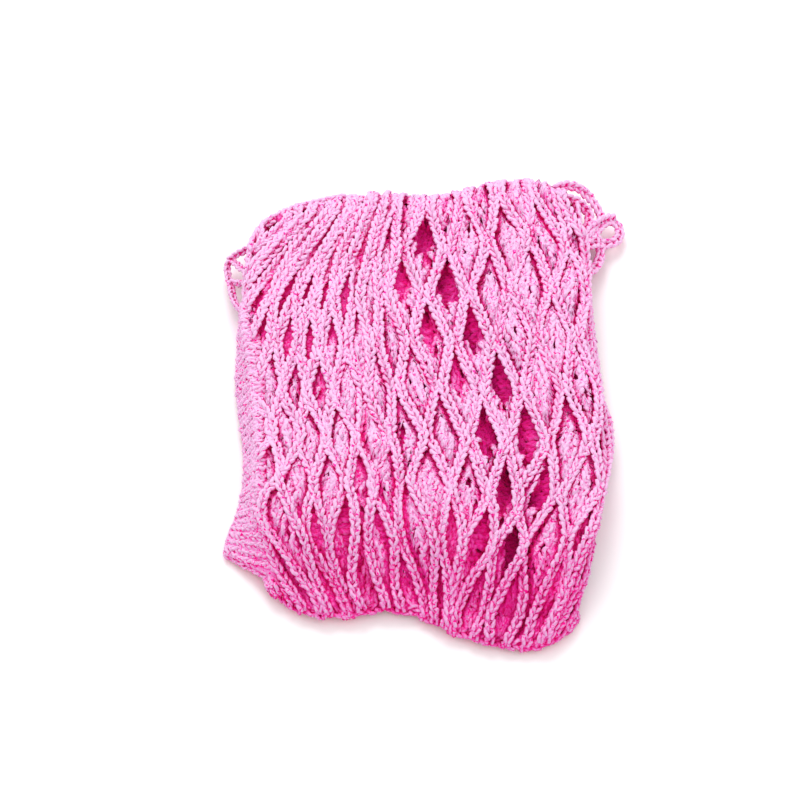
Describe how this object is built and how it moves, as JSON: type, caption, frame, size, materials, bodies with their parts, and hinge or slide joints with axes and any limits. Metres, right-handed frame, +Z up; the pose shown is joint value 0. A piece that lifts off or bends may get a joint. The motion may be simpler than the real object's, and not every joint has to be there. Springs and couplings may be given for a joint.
{
  "type": "mesh shopping bag",
  "caption": "Folded crocheted mesh shopping bag: a pouch of chain-stitch net with open diamonds and a solid crocheted strap along one side.",
  "frame": {"origin": "middle of the folded bag's bounding box, at the surface it lies on", "axes": "+X to the right, +Y from the near edge to the far fold, +Z up out of the face"},
  "size_m": [0.202, 0.2632, 0.0327],
  "materials": {
    "net": "matt cotton yarn",
    "strap": "matt cotton yarn"
  },
  "bodies": {
    "root": {"net_body": "net", "strap": "strap"}
  },
  "joints": []
}
